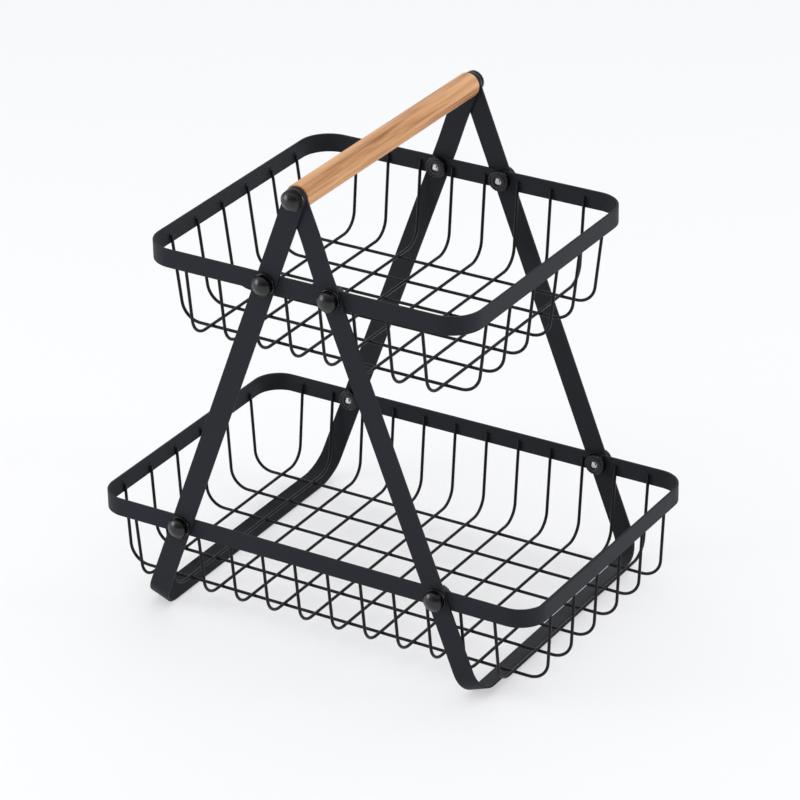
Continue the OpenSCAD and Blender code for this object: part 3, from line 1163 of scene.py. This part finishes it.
@dataclass
class Studio:
    """The pale floor, the lamps, the world and the camera.

    Each lamp is given as its name, its place, the length of its sides and its power in watts.
    """

    lamps: tuple[tuple[str, tuple[float, float, float], float, float], ...] = (
        ("top_lamp", (-0.3, 0.0, 2.2), 3.4, 16.5),
        ("right_lamp", (2.1, 0.6, 0.55), 1.0, 21),
        ("left_lamp", (-1.1, -0.9, 0.45), 0.6, 6),
    )
    lamp_aim: tuple[float, float, float] = (0, 0, 0.12)
    azimuth: float = 31.691
    elevation: float = 26.874
    roll: float = -1.091
    camera_at: tuple[float, float, float] = (1112.24 * MM, -1791.03 * MM, 1196.97 * MM)
    lens: float = 173.49
    sensor: float = 36.0
    clip: tuple[float, float] = (0.05, 30)
    floor_half: float = 6
    floor_roughness: float = 0.9
    floor_specular: float = 0.1
    floor_colour: tuple[float, float, float] = (0.955, 0.957, 0.97)
    plain_share: float = 0.5
    bright_side: tuple[float, float, float] = (-0.55, 0.45, 0.7)
    fade: tuple[float, float] = (-0.6, 0.9)
    sky: tuple[float, float] = (0.16, 0.93)
    sky_colour: tuple[float, float, float] = (0.97, 0.98, 1.0)

    def _camera(self) -> None:
        """Stands the camera where the photograph was taken from."""
        data = bpy.data.cameras.new("photo_camera")
        data.lens, data.sensor_width, data.sensor_fit = self.lens, self.sensor, "HORIZONTAL"
        data.clip_start, data.clip_end = self.clip
        camera = bpy.data.objects.new("photo_camera", data)
        bpy.context.scene.collection.objects.link(camera)
        turns = ((self.azimuth, "Z"), (90 - self.elevation, "X"), (self.roll, "Z"))
        round_z, tip_up, roll = (Matrix.Rotation(math.radians(a), 4, axis) for a, axis in turns)
        camera.matrix_world = Matrix.Translation(self.camera_at) @ round_z @ tip_up @ roll
        bpy.context.scene.camera = camera

    def _lamp(self, name: str, at: Vector, size: float, power: float) -> None:
        """Adds a square soft lamp that faces the rack.

        Args:
            name: the lamp's name.
            at: where it hangs.
            size: the length of its sides.
            power: its power in watts.
        """
        data = bpy.data.lights.new(name, "AREA")
        data.shape, data.size, data.energy = "SQUARE", size, power
        lamp = bpy.data.objects.new(name, data)
        bpy.context.scene.collection.objects.link(lamp)
        turn = (Vector(self.lamp_aim) - at).to_track_quat("-Z", "Y").to_matrix().to_4x4()
        lamp.matrix_world = Matrix.Translation(at) @ turn

    def _world(self) -> None:
        """Surrounds the rack with a sky that is brightest high on the far left."""
        world = bpy.data.worlds.new("studio")
        world.use_nodes = True
        tree = world.node_tree
        place = tree.nodes.new("ShaderNodeTexCoord")
        side = tree.nodes.new("ShaderNodeVectorMath")
        side.operation = "DOT_PRODUCT"
        side.inputs[1].default_value = self.bright_side
        fade = tree.nodes.new("ShaderNodeMapRange")
        fade.interpolation_type = "SMOOTHSTEP"
        limits = dict(zip(("From Min", "From Max", "To Min", "To Max"), (*self.fade, *self.sky)))
        for label, value in limits.items():
            fade.inputs[label].default_value = value
        tree.links.new(place.outputs["Generated"], side.inputs[0])
        tree.links.new(side.outputs["Value"], fade.inputs["Value"])
        tree.links.new(fade.outputs["Result"], tree.nodes["Background"].inputs["Strength"])
        tree.nodes["Background"].inputs["Color"].default_value = (*self.sky_colour, 1)
        bpy.context.scene.world = world

    def _whiten(self, tree: bpy.types.NodeTree, shader: bpy.types.Node) -> None:
        """Shows the floor partly as plain white, to soften the shadows as the photograph does.

        Args:
            tree: the floor's nodes.
            shader: its surface shader.
        """
        path = tree.nodes.new("ShaderNodeLightPath")
        seen = path.outputs["Is Camera Ray"]
        for ray in ("Is Glossy Ray", "Is Transmission Ray"):
            seen = math_node(tree, "MAXIMUM", seen, path.outputs[ray])
        share = math_node(tree, "MULTIPLY", seen, self.plain_share)
        white = tree.nodes.new("ShaderNodeEmission")
        white.inputs["Color"].default_value = (*self.floor_colour, 1)
        mix = tree.nodes.new("ShaderNodeMixShader")
        tree.links.new(share, mix.inputs[0])
        tree.links.new(shader.outputs[0], mix.inputs[1])
        tree.links.new(white.outputs[0], mix.inputs[2])
        tree.links.new(mix.outputs[0], tree.nodes["Material Output"].inputs["Surface"])

    def _floor(self) -> None:
        """Lays a wide pale floor under the rack."""
        bm = bmesh.new()
        bmesh.ops.create_grid(bm, x_segments=1, y_segments=1, size=self.floor_half)
        mesh = bpy.data.meshes.new("studio_floor")
        bm.to_mesh(mesh)
        bm.free()
        material = bpy.data.materials.new("studio_floor")
        material.use_nodes = True
        shader = material.node_tree.nodes["Principled BSDF"]
        shader.inputs["Base Color"].default_value = (*self.floor_colour, 1)
        shader.inputs["Roughness"].default_value = self.floor_roughness
        shader.inputs["Specular IOR Level"].default_value = self.floor_specular
        self._whiten(material.node_tree, shader)
        mesh.materials.append(material)
        floor = bpy.data.objects.new("studio_floor", mesh)
        bpy.context.scene.collection.objects.link(floor)

    def build(self) -> None:
        """Sets the stage."""
        self._camera()
        for name, at, size, power in self.lamps:
            self._lamp(name, Vector(at), size, power)
        self._world()
        self._floor()
        bpy.context.scene.view_settings.view_transform = "Standard"


@dataclass
class Rack:
    """The whole rack, built from its sub-assemblies."""

    baskets: tuple[Basket, ...] = (
        Basket(
            Tier.UPPER,
            length=224 * MM,
            corner=20 * MM,
            floor=190.9 * MM,
            cross_count=8,
            end_lean=6.9 * MM,
            long_pitch=27.7 * MM,
        ),
        Basket(
            Tier.LOWER,
            length=310 * MM,
            corner=18 * MM,
            floor=11.9 * MM,
            cross_count=12,
            end_lean=2.8 * MM,
            long_pitch=28.6 * MM,
        ),
    )
    stack: float = 3.0 * MM
    nut_height: float = 4.2 * MM
    stick_out: float = 0.7 * MM
    insert_reach: float = 10 * MM

    def _rim_fasteners(self) -> None:
        """Builds a knob outside and a nut inside for each of the eight screw places."""
        inside = LAYOUT.side_face - LAYOUT.bar - LAYOUT.clearance
        length = self.stack + LAYOUT.clearance + self.nut_height + self.stick_out
        for tier, face, hand in product(Tier, Face, Hand):
            name = f"{tier.value}_{face.name.lower()}_{hand.name.lower()}"
            x, z = hand.value * LAYOUT.screw_reach(tier), LAYOUT.screw_height(tier)
            place = standing(x, z, face, LAYOUT.knob_face)
            KnobScrew(name, f"{name}_screw", place, length).build()
            ClampNut(name, f"{name}_clamp", standing(x, z, face, inside)).build()

    def _grip_fasteners(self) -> None:
        """Builds the knob at each end of the grip."""
        for face in Face:
            name = f"grip_{face.name.lower()}"
            place = standing(0, LAYOUT.grip_height, face, LAYOUT.knob_face)
            KnobScrew(name, f"{name}_screw", place, self.stack + self.insert_reach).build()

    def _dress_cad(self) -> None:
        """Gives the CAD nodes that stay their own materials."""
        for name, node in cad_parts.items():
            for ending, finish in (("insert", BRASS), ("hex", BARE_STEEL)):
                if name.endswith(ending):
                    node.data.materials.clear()
                    node.data.materials.append(finish.material())

    def build(self) -> None:
        """Builds every piece of the rack."""
        for hand in Hand:
            SideFrame(hand).build()
        for basket in self.baskets:
            basket.build()
        Grip().build()
        self._rim_fasteners()
        self._grip_fasteners()
        self._dress_cad()


def main() -> None:
    """Builds the studio and the rack."""
    logging.basicConfig(level=logging.INFO, format="%(message)s")
    Studio().build()
    Rack().build()
    bpy.context.view_layer.update()


if __name__ == "__main__":
    main()
